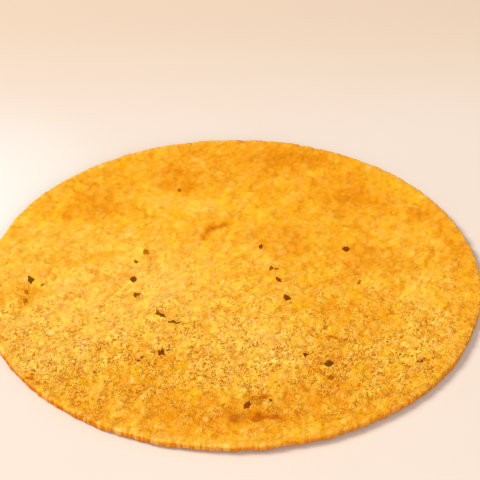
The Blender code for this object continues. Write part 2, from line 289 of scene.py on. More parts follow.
class KhakhraBreadSettings(bpy.types.PropertyGroup):
    """Sizes and colours of the bread."""

    mesh_size: length_setting("Mesh size", "Spacing of the bread's fine mesh", 0.48 * MM)
    kept_faces: bpy.props.FloatProperty(
        name="Kept faces",
        description="The share of faces kept when the underside is thinned out",
        default=0.6,
        min=0.0,
        max=1.0,
    )
    edge_round: length_setting("Edge rounding", "Radius of the rim's rounded edges", 0.6 * MM)
    lump_size: length_setting("Lump size", "Width of the soft lumps in the crust", 3.2 * MM)
    lump_height: length_setting("Lump height", "Height of the soft lumps", 0.30 * MM)
    knob_size: length_setting("Knob size", "Width of the knobs on the lumps", 1.8 * MM)
    knob_height: length_setting("Knob height", "Height of the knobs", 0.36 * MM)
    stroke_size: length_setting("Stroke size", "Width of the torn strokes on the rim", 0.7 * MM)
    stroke_height: length_setting("Stroke height", "Height of those strokes", 0.12 * MM)
    dent_spacing: length_setting("Dent spacing", "Distance from one dent to the next", 4.5 * MM)
    dent_depth: length_setting("Dent depth", "Depth of the short curved dents", 0.16 * MM)
    pit_spacing: length_setting("Pit spacing", "Distance from one pit to the next", 3.1 * MM)
    pit_depth: length_setting("Pit depth", "Depth of the small roast pits", 0.30 * MM)
    granule_size: length_setting("Granule size", "Width of the packed meal granules", 0.62 * MM)
    speck_size: length_setting("Speck size", "Width of the finest specks of meal", 0.36 * MM)
    golden: colour_setting("Golden", "Main colour of the roasted crust", "#E29C16")
    pale: colour_setting("Pale", "Colour of floury lumps and granules", "#EEBF3F")
    cream: colour_setting("Cream", "Colour of the palest granules", "#F5CF76")
    yellow: colour_setting("Yellow", "Colour where the dough stayed yellow", "#E5AC10")
    peach: colour_setting("Peach", "Colour of faintly pink floury places", "#EEAB50")
    orange: colour_setting("Orange", "Colour where the crust has roasted more", "#D68408")
    brown: colour_setting("Brown", "Colour of browned spots, cracks and pits", "#AA4E00")
    toffee: colour_setting("Toffee", "Colour of browned meal, dents and faded leaf", "#B87202")
    ember: colour_setting("Ember", "Colour of the hot orange strokes on the rim", "#CC7008")


class KhakhraScatterSettings(bpy.types.PropertyGroup):
    """Sizes, numbers and colours of what is in the dough."""

    grain_size: length_setting("Grain size", "Width of a coarse flour grain", 0.46 * MM)
    grain_count: bpy.props.IntProperty(
        name="Grains", description="How many pale grains there are where thickest", default=48000, min=0
    )
    meal_size: length_setting("Meal size", "Width of a roasted meal grain", 0.54 * MM)
    meal_count: bpy.props.IntProperty(
        name="Meal grains",
        description="How many roasted meal grains there are where thickest",
        default=35500,
        min=0,
    )
    browned_size: length_setting("Browned size", "Width of a browned grain", 0.42 * MM)
    browned_count: bpy.props.IntProperty(
        name="Browned grains",
        description="How many browned grains there are where thickest",
        default=12000,
        min=0,
    )
    bran_size: length_setting("Bran size", "Length of a bran fleck", 1.0 * MM)
    bran_count: bpy.props.IntProperty(
        name="Bran flecks", description="How many bran flecks show", default=2400, min=0
    )
    chilli_size: length_setting("Chilli size", "Length of a chilli fleck", 0.9 * MM)
    chilli_count: bpy.props.IntProperty(
        name="Chilli flecks", description="How many chilli flecks show", default=450, min=0
    )
    grain: colour_setting("Grain", "Colour of the pale flour grains", "#F2CB5A")
    bran: colour_setting("Bran", "Colour of the bran flecks", "#A86008")
    chilli: colour_setting("Chilli", "Colour of the chilli flecks", "#C84A08")


class KhakhraLeafSettings(bpy.types.PropertyGroup):
    """Sizes and colours of the leaf bits."""

    thickness: length_setting("Thickness", "Thickness of a dry leaf bit", 0.16 * MM)
    proud: length_setting("Proud", "How far a leaf bit stands out of the crust", 0.08 * MM)
    speck_size: length_setting("Speck size", "Length of a leaf speck", 0.7 * MM)
    speck_count: bpy.props.IntProperty(
        name="Specks", description="How many leaf specks show", default=70, min=0
    )
    olive: colour_setting("Olive", "Colour of a leaf bit that stayed greenish", "#5A4202")
    red_brown: colour_setting("Red brown", "Colour of a leaf bit that has roasted brown", "#782A00")
    greyish_tan: colour_setting("Dusty", "Colour of the dusty places on a leaf bit", "#80602A")


class KhakhraStageSettings(bpy.types.PropertyGroup):
    """Camera, floor and light."""

    lens: bpy.props.FloatProperty(
        name="Lens", description="Focal length in mm on a 36 mm sensor", default=127.5, min=1.0
    )
    elevation: bpy.props.FloatProperty(
        name="Elevation",
        description="How far the camera looks down",
        default=math.radians(36.68),
        subtype="ANGLE",
    )
    roll: bpy.props.FloatProperty(
        name="Roll", description="Turn of the picture", default=math.radians(-0.24), subtype="ANGLE"
    )
    distance: length_setting("Distance", "From the camera to the point that it looks at", 533.5 * MM)
    aim: bpy.props.FloatVectorProperty(
        name="Aim",
        description="The point that the camera looks at",
        subtype="TRANSLATION",
        unit="LENGTH",
        default=(2.33 * MM, 20.71 * MM, 0.45 * MM),
    )
    floor: colour_setting("Floor", "Colour of the pale floor", "#DCCDC2")
    far_floor: colour_setting("Far floor", "Colour of the floor further back", "#D6C0AB")
    # The pool of painted light on the floor by the bread's left side
    light_pool_floor: colour_setting("Bright floor", "Colour of the brightest patch", "#DFDFDA")
    key_power: bpy.props.FloatProperty(
        name="Key light", description="Power of the soft light from the left", default=60.0, min=0.0
    )
    fill_power: bpy.props.FloatProperty(
        name="Fill light", description="Power of the light from the camera's side", default=17.5, min=0.0
    )
    sky: bpy.props.FloatProperty(
        name="Room light", description="Strength of the even light all round", default=0.42, min=0.0
    )


def deselect_all():
    """Leaves nothing selected, so that an operator acts only on what follows."""
    if bpy.context.object and bpy.context.object.mode != "OBJECT":
        bpy.ops.object.mode_set(mode="OBJECT")
    bpy.ops.object.select_all(action="DESELECT")


def pick(piece):
    """Selects one piece alone and makes it active."""
    deselect_all()
    piece.select_set(True)
    bpy.context.view_layer.objects.active = piece


def new_piece(name):
    """Names the primitive that an operator has just added."""
    piece = bpy.context.object
    piece.name = name
    piece.data.name = name
    return piece


def apply_modifier(piece, kind, **settings):
    """Adds a modifier with its settings and applies it."""
    pick(piece)
    modifier = piece.modifiers.new(kind.title(), kind)
    for name, value in settings.items():
        setattr(modifier, name, value)
    bpy.ops.object.modifier_apply(modifier=modifier.name)


def place_in_mesh(piece):
    """Moves the piece's place, turn and size into its mesh."""
    pick(piece)
    bpy.ops.object.transform_apply(location=True, rotation=True, scale=True)


def geometry_group(name):
    """A new geometry node group with its way in and its way out."""
    tree = bpy.data.node_groups.new(name, "GeometryNodeTree")
    tree.interface.new_socket("Geometry", in_out="INPUT", socket_type="NodeSocketGeometry")
    tree.interface.new_socket("Geometry", in_out="OUTPUT", socket_type="NodeSocketGeometry")
    way_in = node(tree, "NodeGroupInput")
    way_out = node(tree, "NodeGroupOutput")
    return tree, way_in, way_out


def crust_layers(tree, position, bread):
    """The layers of the crust's relief, each from 0 to 1, with the places and tints that go with them.

    The mesh and its material use the same ones, so that colour and relief agree.
    """
    turned = node(
        tree,
        "ShaderNodeVectorRotate",
        {"Vector": position, "Angle": ROLLED_TURN},
        rotation_type="Z_AXIS",
    )
    drawn = node(
        tree, "ShaderNodeVectorMath", {0: turned, 1: ROLLED_SCALE}, operation="MULTIPLY"
    )
    # Cells are pulled about by 0.4 mm, which makes them ragged
    pull = node(
        tree, "ShaderNodeTexNoise", {"Vector": drawn, "Scale": 1 / (1.5 * MM), "Detail": 1.0}
    )
    pulled = node(
        tree,
        "ShaderNodeVectorMath",
        {0: pull.outputs["Color"], 1: (0.8 * MM, 0.8 * MM, 0.8 * MM), 2: drawn},
        operation="MULTIPLY_ADD",
    )
    # How near its edge a point is, from 0 where the rim begins to 1 just short of the edge
    flat = node(
        tree, "ShaderNodeVectorMath", {0: position, 1: (1.0, 1.0, 0.0)}, operation="MULTIPLY"
    )
    radius = node(tree, "ShaderNodeVectorMath", {0: flat}, operation="LENGTH")
    rim = node(
        tree,
        "ShaderNodeMapRange",
        {0: radius, 1: BREAD_RADIUS - RIM_WIDTH, 2: BREAD_RADIUS - MM},
        interpolation_type="SMOOTHSTEP",
    )
    # The crust is smoothest at the back, +Y, and coarsest at the front, short of the rim
    along = node(tree, "ShaderNodeSeparateXYZ", {0: position}).outputs[1]
    coarse = node(tree, "ShaderNodeMapRange", {0: along, 1: 35 * MM, 2: -38 * MM, 3: 0.1})
    coarse = node(tree, "ShaderNodeMath", {0: coarse, 1: 1.6}, operation="POWER")
    less = node(tree, "ShaderNodeMapRange", {0: along, 1: -48 * MM, 2: -66 * MM, 3: 1.0, 4: 0.5})
    coarse = node(tree, "ShaderNodeMath", {0: coarse, 1: less}, operation="MULTIPLY")
    # Patches about 5 mm wide where the skin is rubbed and the meal shows, fewer at the rim
    patches = node(
        tree, "ShaderNodeTexNoise", {"Vector": drawn, "Scale": 1 / (5 * MM), "Detail": 3.0}
    )
    rubbed = node(tree, "ShaderNodeMapRange", {0: patches, 1: 0.38, 2: 0.54, 3: 0.12})
    rubbed = node(tree, "ShaderNodeMath", {0: rubbed, 1: coarse}, operation="MULTIPLY")
    less = node(tree, "ShaderNodeMapRange", {0: rim, 3: 1.0, 4: 0.5})
    rubbed = node(tree, "ShaderNodeMath", {0: rubbed, 1: less}, operation="MULTIPLY")
    # Strokes 0.7 mm wide and twice as long or more, out over the rim and down its side, left where
    # the edge was cut and tore. The radius is their fourth dimension, so that they have no seam
    around = node(tree, "ShaderNodeVectorMath", {0: flat}, operation="NORMALIZE")
    around = node(
        tree, "ShaderNodeVectorMath", {0: around, "Scale": BREAD_RADIUS}, operation="SCALE"
    )
    around = node(
        tree,
        "ShaderNodeVectorMath",
        {0: pull.outputs["Color"], 1: (0.7 * MM, 0.7 * MM, 0.7 * MM), 2: around},
        operation="MULTIPLY_ADD",
    )
    outward = node(tree, "ShaderNodeMath", {0: radius, 1: 0.4}, operation="MULTIPLY")
    stroke = node(
        tree,
        "ShaderNodeTexVoronoi",
        {"Vector": around, "W": outward, "Scale": 1 / bread.stroke_size},
        voronoi_dimensions="4D",
    ).outputs
    strokes = node(
        tree,
        "ShaderNodeMapRange",
        {0: stroke["Distance"], 1: 0.8, 2: 0.25},
        interpolation_type="SMOOTHSTEP",
    )
    # Soft lumps, with knobs on them
    lumps = node(
        tree,
        "ShaderNodeTexNoise",
        {"Vector": drawn, "Scale": 1 / bread.lump_size, "Detail": 2.0, "Roughness": 0.55},
    )
    knob = node(
        tree, "ShaderNodeTexVoronoi", {"Vector": pulled, "Scale": 1 / bread.knob_size}
    ).outputs
    knobs = node(
        tree,
        "ShaderNodeMapRange",
        {0: knob["Distance"], 1: 0.75, 2: 0.1},
        interpolation_type="SMOOTHSTEP",
    )
    # Small pits where steam broke the skin, in about half of the cells
    pit = node(
        tree, "ShaderNodeTexVoronoi", {"Vector": pulled, "Scale": 1 / bread.pit_spacing}
    ).outputs
    pit_shape = node(
        tree,
        "ShaderNodeMapRange",
        {0: pit["Distance"], 1: 0.23, 2: 0.07},
        interpolation_type="SMOOTHSTEP",
    )
    pit_pick = node(tree, "ShaderNodeSeparateXYZ", {0: pit["Color"]})
    pit_pick = node(tree, "ShaderNodeMapRange", {0: pit_pick, 1: 0.35, 2: 0.6})
    pits = node(tree, "ShaderNodeMath", {0: pit_shape, 1: pit_pick}, operation="MULTIPLY")
    # Short curved dents where the skin puckered: the middle line of one noise, broken up by another
    swell = node(
        tree,
        "ShaderNodeTexNoise",
        {"Vector": drawn, "Scale": 1 / bread.dent_spacing, "Detail": 1.5},
    )
    off_line = node(tree, "ShaderNodeMath", {0: swell, 1: 0.5}, operation="SUBTRACT")
    off_line = node(tree, "ShaderNodeMath", {0: off_line}, operation="ABSOLUTE")
    line = node(
        tree,
        "ShaderNodeMapRange",
        {0: off_line, 1: 0.06, 2: 0.01},
        interpolation_type="SMOOTHSTEP",
    )
    broken = node(
        tree, "ShaderNodeTexNoise", {"Vector": pulled, "Scale": 1 / (2.4 * MM), "Detail": 1.0}
    )
    broken = node(tree, "ShaderNodeMapRange", {0: broken, 1: 0.47, 2: 0.53})
    dents = node(tree, "ShaderNodeMath", {0: line, 1: broken}, operation="MULTIPLY")
    return {
        "drawn": drawn,
        "pulled": pulled,
        "radius": radius,
        "rim": rim,
        "coarse": coarse,
        "rubbed": rubbed,
        "lumps": lumps,
        "knobs": knobs,
        "knob_tint": knob["Color"],
        "strokes": strokes,
        "stroke_tint": stroke["Color"],
        "pits": pits,
        "flake_tint": pit["Color"],
        "dents": dents,
    }


def relief_group(bread):
    """Geometry nodes that push the crust out along its normals by its relief."""
    tree, way_in, way_out = geometry_group("crust_relief")
    position = node(tree, "GeometryNodeInputPosition")
    layers = crust_layers(tree, position, bread)
    # The outermost points stay about where the solid has them and the rest lies lower. Knobs
    # are lower where the crust is smooth, and at the rim, which was cut round and stands out
    lumps = node(
        tree,
        "ShaderNodeMapRange",
        {0: layers["lumps"], 1: 0.3, 2: 0.7, 3: -bread.lump_height, 4: 0.0},
        clamp=False,
    )
    share = node(tree, "ShaderNodeMapRange", {0: layers["coarse"], 3: 0.45, 4: 1.0})
    even = node(tree, "ShaderNodeMapRange", {0: layers["rim"], 3: 1.0, 4: 0.5})
    share = node(tree, "ShaderNodeMath", {0: share, 1: even}, operation="MULTIPLY")
    knobs = node(
        tree, "ShaderNodeMapRange", {0: layers["knobs"], 3: -bread.knob_height, 4: 0.1 * MM}
    )
    knobs = node(tree, "ShaderNodeMath", {0: knobs, 1: share}, operation="MULTIPLY")
    height = node(tree, "ShaderNodeMath", {0: lumps, 1: knobs}, operation="ADD")
    stand = node(
        tree,
        "ShaderNodeMath",
        {0: layers["strokes"], 1: bread.stroke_height, 2: 0.1 * MM},
        operation="MULTIPLY_ADD",
    )
    height = node(
        tree,
        "ShaderNodeMath",
        {0: stand, 1: layers["rim"], 2: height},
        operation="MULTIPLY_ADD",
    )
    dents = node(
        tree,
        "ShaderNodeMath",
        {0: layers["dents"], 1: -bread.dent_depth, 2: height},
        operation="MULTIPLY_ADD",
    )
    pits = node(
        tree,
        "ShaderNodeMath",
        {0: layers["pits"], 1: -bread.pit_depth, 2: dents},
        operation="MULTIPLY_ADD",
    )
    normal = node(tree, "GeometryNodeInputNormal")
    offset = node(tree, "ShaderNodeVectorMath", {0: normal, "Scale": pits}, operation="SCALE")
    moved = node(tree, "GeometryNodeSetPosition", {"Geometry": way_in, "Offset": offset})
    tree.links.new(moved.outputs[0], way_out.inputs[0])
    return tree


def box_group():
    """Geometry nodes that keep the crust between the solid's lowest and highest points."""
    tree, way_in, way_out = geometry_group("crust_in_box")
    low, high = BREAD_BOX
    kept = keep_between(tree, way_in, low.z, high.z)
    tree.links.new(kept.outputs[0], way_out.inputs[0])
    return tree


def keep_between(tree, geometry, low, high):
    """Moves points that lie below or above two heights onto them."""
    position = node(tree, "GeometryNodeInputPosition")
    apart = node(tree, "ShaderNodeSeparateXYZ", {0: position}).outputs
    kept = node(tree, "ShaderNodeClamp", {"Value": apart[2], "Min": low, "Max": high})
    together = node(tree, "ShaderNodeCombineXYZ", {0: apart[0], 1: apart[1], 2: kept})
    return node(tree, "GeometryNodeSetPosition", {"Geometry": geometry, "Position": together})


def new_material(name, roughness, specular):
    """A material with its nodes and its shader, to which a pattern is then linked."""
    material = bpy.data.materials.new(name)
    material.use_nodes = True
    shader = material.node_tree.nodes["Principled BSDF"]
    shader.inputs["Roughness"].default_value = roughness
    shader.inputs["Specular IOR Level"].default_value = specular
    return material, material.node_tree, shader


def roasted_dough(bread):
    """Roasted coarse wheat dough: dry and matt, with pale granules and browned cracks and pits."""
    material, tree, shader = new_material("roasted_dough", 0.85, 0.02)
    position = node(tree, "ShaderNodeTexCoord").outputs["Object"]
    layers = crust_layers(tree, position, bread)
    coarse = layers["coarse"]
    # The toast attribute holds the pan's browning, with painted shade added along the fold
    toast_and_shade = node(tree, "ShaderNodeAttribute", attribute_name="toast_and_shade").outputs["Fac"]
    # Mottling 5 mm wide, where the dough met the pan more or less closely
    mottle = node(
        tree,
        "ShaderNodeTexNoise",
        {"Vector": layers["drawn"], "Scale": 1 / (5 * MM), "Detail": 3.0, "Roughness": 0.55},
    )
    # A knob takes a little less or more than its place's browning
    knob_tint = node(tree, "ShaderNodeSeparateXYZ", {0: layers["knob_tint"]}).outputs
    taken = node(tree, "ShaderNodeMapRange", {0: knob_tint[2], 3: 0.7, 4: 1.3})
    browning_and_shade = node(
        tree, "ShaderNodeMath", {0: toast_and_shade, 1: taken, 2: mottle}, operation="MULTIPLY_ADD"
    )
    roasted = node(tree, "ShaderNodeMapRange", {0: browning_and_shade, 1: 0.40, 2: 0.85})
    scorched = node(tree, "ShaderNodeMapRange", {0: browning_and_shade, 1: 0.95, 2: 1.7, 4: 0.9})
    spared = node(tree, "ShaderNodeMapRange", {0: toast_and_shade, 1: -0.05, 2: -0.45, 4: 0.35})
    # Tints 3.5 mm wide: yellow, faintly pink, and floury
    tint = node(
        tree,
        "ShaderNodeTexNoise",
        {"Vector": layers["drawn"], "Scale": 1 / (3.5 * MM), "Detail": 2.0},
    ).outputs["Color"]
    tints = node(tree, "ShaderNodeSeparateXYZ", {0: tint}).outputs
    yellow = node(tree, "ShaderNodeMapRange", {0: tints[0], 1: 0.5, 2: 0.62, 4: 0.8})
    peach = node(tree, "ShaderNodeMapRange", {0: tints[1], 1: 0.52, 2: 0.68, 4: 0.6})
    flour = node(tree, "ShaderNodeMapRange", {0: tints[2], 1: 0.48, 2: 0.62, 4: 0.3})
    # Floury lumps are pale, most of all where the skin is rubbed and the pan browned it least
    pale = node(tree, "ShaderNodeMapRange", {0: layers["lumps"], 1: 0.46, 2: 0.68, 4: 0.5})
    pale = node(tree, "ShaderNodeMath", {0: pale, 1: flour}, operation="ADD")
    shown = node(tree, "ShaderNodeMapRange", {0: layers["rubbed"], 3: 0.42, 4: 1.0})
    unbrowned = node(tree, "ShaderNodeMapRange", {0: toast_and_shade, 1: -0.4, 2: 0.85, 3: 1.4, 4: 0.15})
    floury = node(tree, "ShaderNodeMath", {0: shown, 1: unbrowned}, operation="MULTIPLY")
    # Single granules show less than lumps where the skin is whole
    bare = node(tree, "ShaderNodeMapRange", {0: layers["rubbed"], 3: 0.08, 4: 1.0})
    bare = node(tree, "ShaderNodeMath", {0: bare, 1: unbrowned}, operation="MULTIPLY")
    pale = node(tree, "ShaderNodeMath", {0: pale, 1: floury}, operation="MULTIPLY")
    # The coats over the golden crust, from the bottom one up, each with its share
    coats = [
        (yellow, bread.yellow),
        (peach, bread.peach),
        (roasted, bread.orange),
        (scorched, bread.brown),
        (spared, bread.cream),
        (pale, bread.pale),
    ]
    # The flakes of skin round the pits differ too, less at the back: some are paler, but not where
    # the pan browned them, and some browner
    flake = node(tree, "ShaderNodeSeparateXYZ", {0: layers["flake_tint"]}).outputs
    differ = node(tree, "ShaderNodeMapRange", {0: coarse, 2: 0.5, 3: 0.4, 4: 1.0})
    browner = node(tree, "ShaderNodeMapRange", {0: flake[2], 1: 0.6, 2: 0.85, 4: 0.6})
    browner = node(tree, "ShaderNodeMath", {0: browner, 1: differ}, operation="MULTIPLY")
    paler = node(tree, "ShaderNodeMapRange", {0: flake[1], 1: 0.6, 2: 0.85, 4: 0.5})
    differ = node(tree, "ShaderNodeMath", {0: differ, 1: unbrowned}, operation="MULTIPLY")
    paler = node(tree, "ShaderNodeMath", {0: paler, 1: differ}, operation="MULTIPLY")
    coats += [(paler, bread.pale), (browner, bread.orange)]
    # Each knob has a shade of its own, strongest at its top
    knob_top = node(tree, "ShaderNodeMath", {0: layers["knobs"], 1: floury}, operation="MULTIPLY")
    for channel, start, end, most, coat in (
        (0, 0.55, 0.95, 0.7, bread.pale),
        (1, 0.80, 0.95, 0.7, bread.cream),
        (2, 0.70, 0.95, 0.5, bread.orange),
    ):
        share = node(
            tree, "ShaderNodeMapRange", {0: knob_tint[channel], 1: start, 2: end, 4: most}
        )
        share = node(tree, "ShaderNodeMath", {0: share, 1: knob_top}, operation="MULTIPLY")
        coats.append((share, coat))
    # So has each granule, and each speck of meal between them: some pale and fewer browned, the
    # browned ones only where the skin is rubbed. Each is a low dome in the bump
    relief = 0.0
    wear_and_light_pool = node(tree, "ShaderNodeMapRange", {0: layers["rubbed"], 2: 0.9})
    for size, height, most, light_coat, dark_coat in (
        (bread.granule_size, 0.6, 1.0, bread.pale, bread.toffee),
        (bread.speck_size, 0.4, 0.6, bread.cream, bread.brown),
    ):
        grain = node(
            tree, "ShaderNodeTexVoronoi", {"Vector": layers["pulled"], "Scale": 1 / size}
        ).outputs
        tints = node(tree, "ShaderNodeSeparateXYZ", {0: grain["Color"]}).outputs
        light = node(tree, "ShaderNodeMapRange", {0: tints[0], 1: 0.7, 2: 0.95, 4: 0.7})
        light = node(tree, "ShaderNodeMath", {0: light, 1: bare}, operation="MULTIPLY")
        dark = node(tree, "ShaderNodeMapRange", {0: tints[1], 1: 0.27, 2: 0.12, 4: most})
        dark = node(tree, "ShaderNodeMath", {0: dark, 1: wear_and_light_pool}, operation="MULTIPLY")
        coats += [(light, light_coat), (dark, dark_coat)]
        dome = node(
            tree, "ShaderNodeMapRange", {0: grain["Distance"], 1: 0.7, 2: 0.1, 4: height}
        )
        relief = node(tree, "ShaderNodeMath", {0: dome, 1: relief}, operation="ADD")
    # The creases round the knobs where the lumps are low are painted brown as painted shade. The pits take
    # the same brown, partly their own browning and partly painted shade, all less where the crust is smooth
    crease_shade = node(tree, "ShaderNodeMapRange", {0: layers["knobs"], 1: 0.4, 2: 0.0, 4: 0.6})
    low = node(tree, "ShaderNodeMapRange", {0: layers["lumps"], 1: 0.56, 2: 0.36})
    crease_shade = node(tree, "ShaderNodeMath", {0: crease_shade, 1: low}, operation="MULTIPLY")
    dark = node(tree, "ShaderNodeMath", {0: crease_shade, 1: layers["pits"]}, operation="MAXIMUM")
    deep = node(tree, "ShaderNodeMapRange", {0: coarse, 3: 0.15, 4: 0.6})
    dark = node(tree, "ShaderNodeMath", {0: dark, 1: deep}, operation="MULTIPLY")
    # The dents are painted toffee: painted shade beside their low ridges
    dent = node(tree, "ShaderNodeMath", {0: layers["dents"], 1: 0.3}, operation="MULTIPLY")
    # On the rim the strokes are cream, yellow or hot orange. The cream and yellow ones are stronger at the
    # left, as painted light on the rim's lit side.
    # The side is painted a hotter orange from its top edge down, partly its own colour and partly painted
    # shade, and brown at its foot as painted shade
    side = node(
        tree,
        "ShaderNodeMapRange",
        {0: layers["radius"], 1: BREAD_RADIUS - 2.6 * MM, 2: BREAD_RADIUS - 0.6 * MM},
    )
    stroke = node(tree, "ShaderNodeSeparateXYZ", {0: layers["stroke_tint"]}).outputs
    apart = node(tree, "ShaderNodeSeparateXYZ", {0: position}).outputs
    side_colour_and_shade = node(tree, "ShaderNodeMapRange", {0: apart[2], 1: 2.45 * MM, 2: 1.8 * MM, 4: 0.85})
    lowest = node(tree, "ShaderNodeMapRange", {0: apart[2], 1: 1.6 * MM, 2: 0.2 * MM, 4: 0.6})
    ember_and_side_shade = node(tree, "ShaderNodeMapRange", {0: stroke[1], 1: 0.5, 2: 0.1, 4: 0.4})
    ember_and_side_shade = node(tree, "ShaderNodeMath", {0: ember_and_side_shade, 1: side_colour_and_shade}, operation="ADD")
    ember_and_side_shade = node(tree, "ShaderNodeMath", {0: ember_and_side_shade, 1: side}, operation="MULTIPLY", use_clamp=True)
    foot_shade = node(tree, "ShaderNodeMath", {0: lowest, 1: side}, operation="MULTIPLY")
    left = node(tree, "ShaderNodeMapRange", {0: apart[0], 1: 10 * MM, 2: -35 * MM, 3: 0.4})
    left = node(tree, "ShaderNodeMath", {0: left, 1: side}, operation="MULTIPLY")
    bead = node(tree, "ShaderNodeMapRange", {0: stroke[0], 1: 0.5, 2: 0.8, 4: 0.45})
    bead = node(tree, "ShaderNodeMath", {0: bead, 1: left}, operation="MULTIPLY")
    lemon = node(tree, "ShaderNodeMapRange", {0: stroke[2], 1: 0.6, 2: 0.85, 4: 0.45})
    lemon = node(tree, "ShaderNodeMath", {0: lemon, 1: left}, operation="MULTIPLY")
    coats += [
        (dent, bread.toffee),
        (dark, bread.brown),
        (ember_and_side_shade, bread.ember),
        (foot_shade, bread.brown),
        (bead, bread.cream),
        (lemon, bread.yellow),
    ]
    colour = bread.golden
    for share, coat in coats:
        colour = node(tree, "ShaderNodeMix", {0: share, 6: colour, 7: coat}, data_type="RGBA")
    tree.links.new(colour.outputs[2], shader.inputs["Base Color"])
    bump = node(
        tree, "ShaderNodeBump", {"Height": relief, "Strength": coarse, "Distance": 0.28 * MM}
    )
    tree.links.new(bump.outputs["Normal"], shader.inputs["Normal"])
    return material


def dry_bits(name, colour, other, bread):
    """Dry, matt bits, each of a shade of its own between two colours, browned as their place is and darkened
    by the painted shade along the fold.
    """
    material, tree, shader = new_material(name, 0.7, 0.02)
    shade = node(tree, "ShaderNodeAttribute", attribute_name="shade").outputs["Fac"]
    toast_and_shade = node(tree, "ShaderNodeAttribute", attribute_name="toast_and_shade").outputs["Fac"]
    roasted = node(tree, "ShaderNodeMapRange", {0: toast_and_shade, 1: 0.2, 2: 0.7, 4: 0.7})
    scorched = node(tree, "ShaderNodeMapRange", {0: toast_and_shade, 1: 0.7, 2: 1.3, 4: 0.8})
    for share, coat in ((shade, other), (roasted, bread.orange), (scorched, bread.brown)):
        colour = node(tree, "ShaderNodeMix", {0: share, 6: colour, 7: coat}, data_type="RGBA")
    tree.links.new(colour.outputs[2], shader.inputs["Base Color"])
    position = node(tree, "ShaderNodeTexCoord").outputs["Object"]
    # Grit a quarter of a millimetre wide
    grit = node(tree, "ShaderNodeTexNoise", {"Vector": position, "Scale": 1 / (0.25 * MM)})
    bump = node(tree, "ShaderNodeBump", {"Height": grit, "Strength": 0.5, "Distance": 0.08 * MM})
    tree.links.new(bump.outputs["Normal"], shader.inputs["Normal"])
    return material


def dry_leaf(leaf, bread):
    """Dried coriander-like leaf: brittle and dull, olive going to red brown, lighter greyish tan in places.
    """
    material, tree, shader = new_material("dry_leaf", 0.75, 0.03)
    position = node(tree, "ShaderNodeTexCoord").outputs["Object"]
    brown = node(tree, "ShaderNodeAttribute", attribute_name="brown").outputs["Fac"]
    fade = node(tree, "ShaderNodeAttribute", attribute_name="fade").outputs["Fac"]
    # Blotches of red brown half a millimetre wide, and lighter greyish tan places 0.7 mm wide
    blotch = node(tree, "ShaderNodeTexNoise", {"Vector": position, "Scale": 1 / (0.5 * MM)})
    roasted = node(tree, "ShaderNodeMapRange", {0: blotch, 1: 0.38, 2: 0.62, 3: -0.35, 4: 0.35})
    roasted = node(tree, "ShaderNodeMath", {0: roasted, 1: brown}, operation="ADD")
    greyish_places = node(tree, "ShaderNodeTexNoise", {"Vector": position, "Scale": 1 / (0.7 * MM)})
    greyish_places = node(tree, "ShaderNodeMapRange", {0: greyish_places, 1: 0.52, 2: 0.72, 4: 0.35})
    # Where a bit has faded most, the crust's own colour covers it
    covered = node(tree, "ShaderNodeMapRange", {0: fade, 1: 0.85, 2: 1.1})
    coats = (
        (roasted, leaf.red_brown),
        (greyish_places, leaf.greyish_tan),
        (fade, bread.toffee),
        (covered, bread.golden),
    )
    colour = leaf.olive
    for share, coat in coats:
        colour = node(tree, "ShaderNodeMix", {0: share, 6: colour, 7: coat}, data_type="RGBA")
    tree.links.new(colour.outputs[2], shader.inputs["Base Color"])
    bump = node(tree, "ShaderNodeBump", {"Height": blotch, "Strength": 0.6, "Distance": 0.1 * MM})
    tree.links.new(bump.outputs["Normal"], shader.inputs["Normal"])
    return material


def store_toast_and_shade(piece):
    """Stores on each point of the bread how much more the pan has browned it there, with the painted shade
    along the fold added.
    """
    count = len(piece.data.vertices)
    places = np.empty(count * 3, np.float32)
    piece.data.vertices.foreach_get("co", places)
    places = places.reshape(-1, 3)
    toast_and_shade = np.zeros(count, np.float32)
    for x, y, half_width, half_depth, strength in TOASTED_PATCHES:
        across = (places[:, 0] - x * MM) / (half_width * MM)
        along = (places[:, 1] - y * MM) / (half_depth * MM)
        toast_and_shade += strength * np.exp(-(across ** 2) - along ** 2)
    # Painted shade along the fold, stored with the browning
    x, y, radius, first, last, width, strength = FOLD_SHADE
    across = places[:, 0] - x * MM
    along = places[:, 1] - y * MM
    off_ring = (np.hypot(across, along) - radius * MM) / (width * MM)
    turn = np.degrees(np.arctan2(along, across))
    past_ends = np.maximum(np.maximum(first - turn, turn - last), 0.0) / FOLD_SHADE_RUN_OUT
    toast_and_shade += strength * np.exp(-(off_ring ** 2) - past_ends ** 2)
    attribute = piece.data.attributes.new("toast_and_shade", "FLOAT", "POINT")
    attribute.data.foreach_set("value", toast_and_shade)


